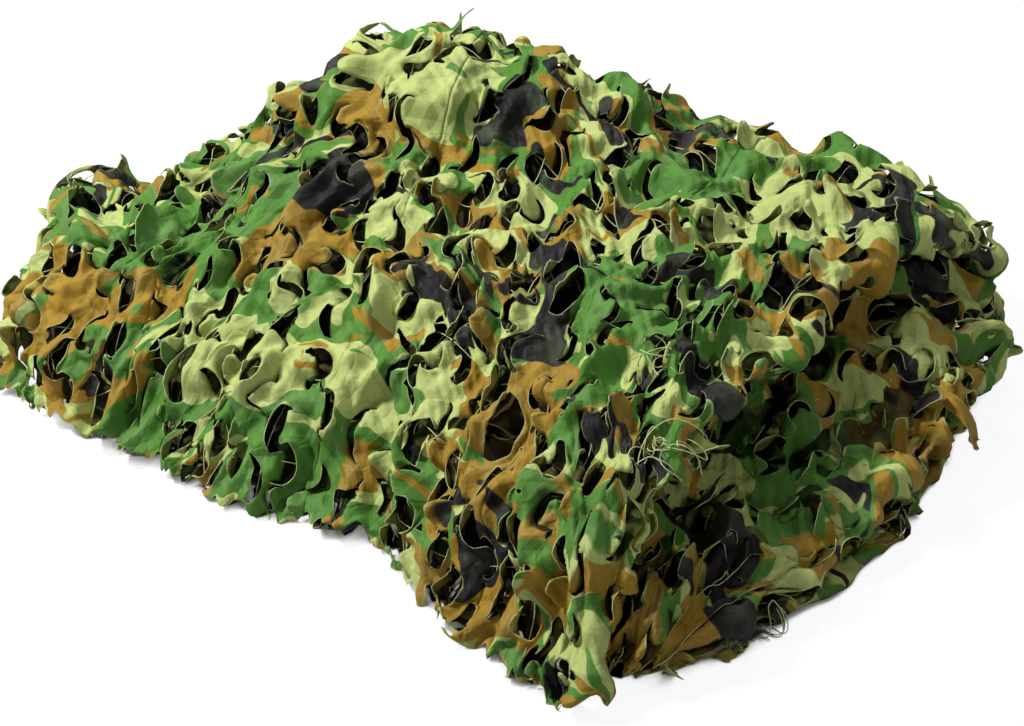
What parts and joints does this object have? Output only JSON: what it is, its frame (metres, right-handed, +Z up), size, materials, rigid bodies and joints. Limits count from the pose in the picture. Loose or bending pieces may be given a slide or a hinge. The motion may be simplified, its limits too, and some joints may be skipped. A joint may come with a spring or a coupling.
{
  "type": "folded camouflage net",
  "caption": "Leaf-cut camouflage net folded back and forth into a loose heap, low at its closed end and open in a hollow at the other.",
  "frame": {"origin": "middle of the heap's bounding box, at the surface it lies on", "axes": "+X along the heap towards its open end, +Y across it towards the taller side, +Z up"},
  "size_m": [1.0662, 0.8324, 0.3228],
  "materials": {
    "leaf_cloth": "thin woven polyester, slight sheen, printed in light green, green, brown and near black"
  },
  "bodies": {
    "root": {"leaf_cut_net": "leaf_cloth"}
  },
  "joints": []
}
